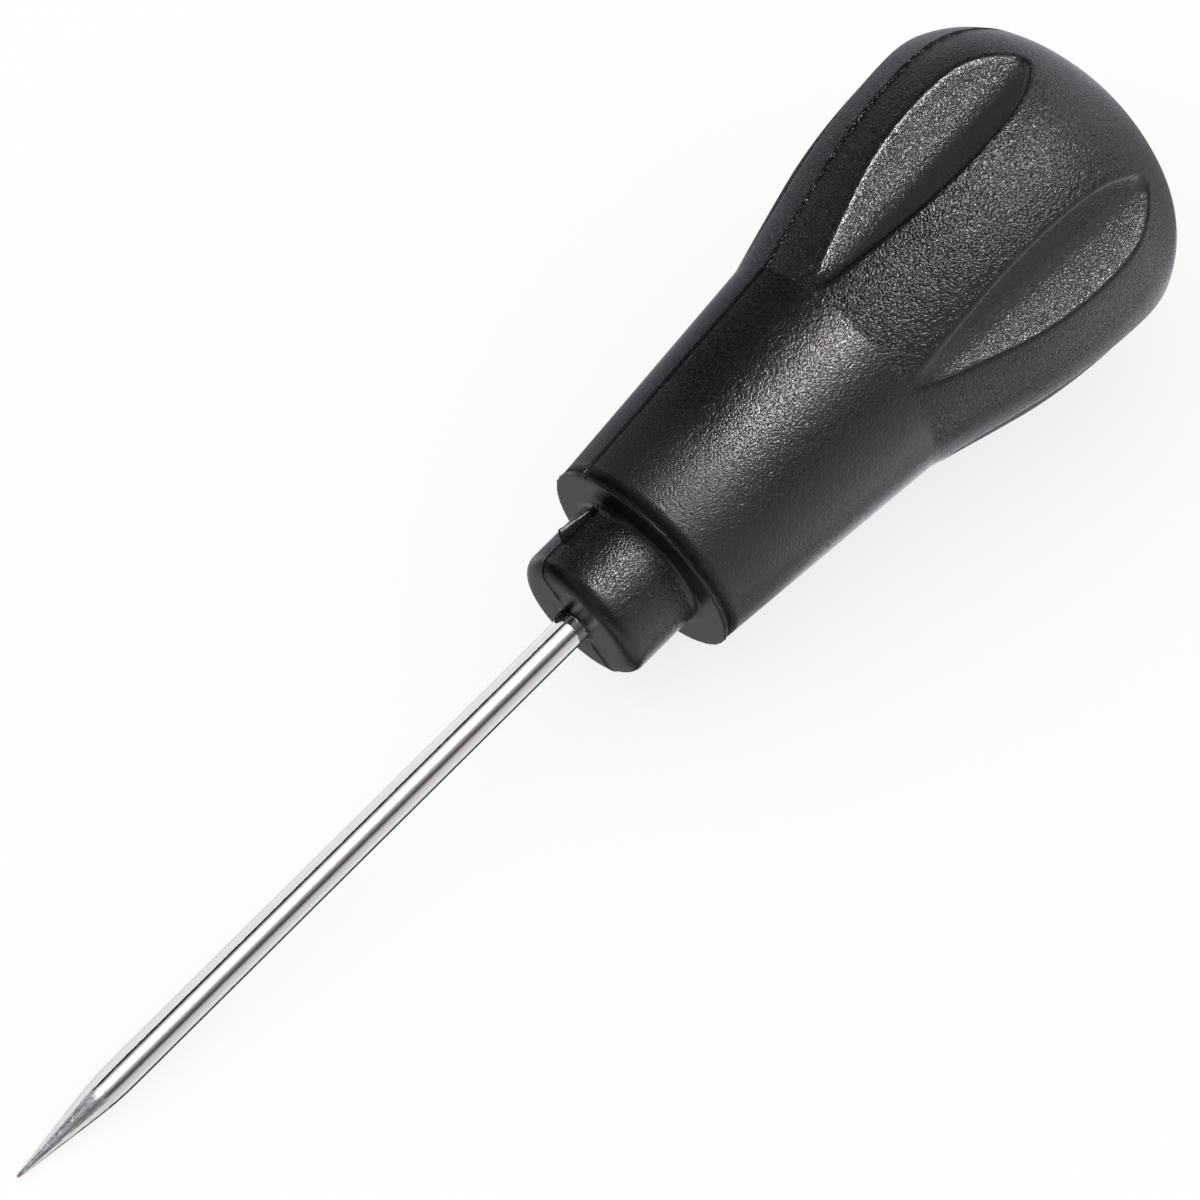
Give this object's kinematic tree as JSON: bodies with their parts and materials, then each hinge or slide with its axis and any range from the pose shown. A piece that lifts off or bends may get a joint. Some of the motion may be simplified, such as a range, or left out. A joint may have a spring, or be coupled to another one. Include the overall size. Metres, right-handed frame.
{
  "type": "bradawl",
  "caption": "Bradawl with a round plated blade ground to a cone point, moulded into a black plastic handle with a stepped nose, a tapered neck and a fluted bulb.",
  "frame": {"origin": "on the blade's axis at the nose face, where the blade leaves the handle", "axes": "+X runs along the blade's axis from the point towards the butt; +Z passes through the middle of a flute; the tool lies level"},
  "size_m": [0.1782, 0.0434, 0.0424],
  "materials": {
    "plated_steel": "bright plated round steel with fine drawing lines, ground point with lengthwise scratches",
    "core_plastic": "black moulded plastic, fine pebble grain on the nose and smooth faces",
    "grip_plastic": "black moulded plastic with a pebbled leather grain"
  },
  "bodies": {
    "root": {"blade": "plated_steel", "handle_core": "core_plastic", "handle_grip": "grip_plastic"}
  },
  "joints": []
}
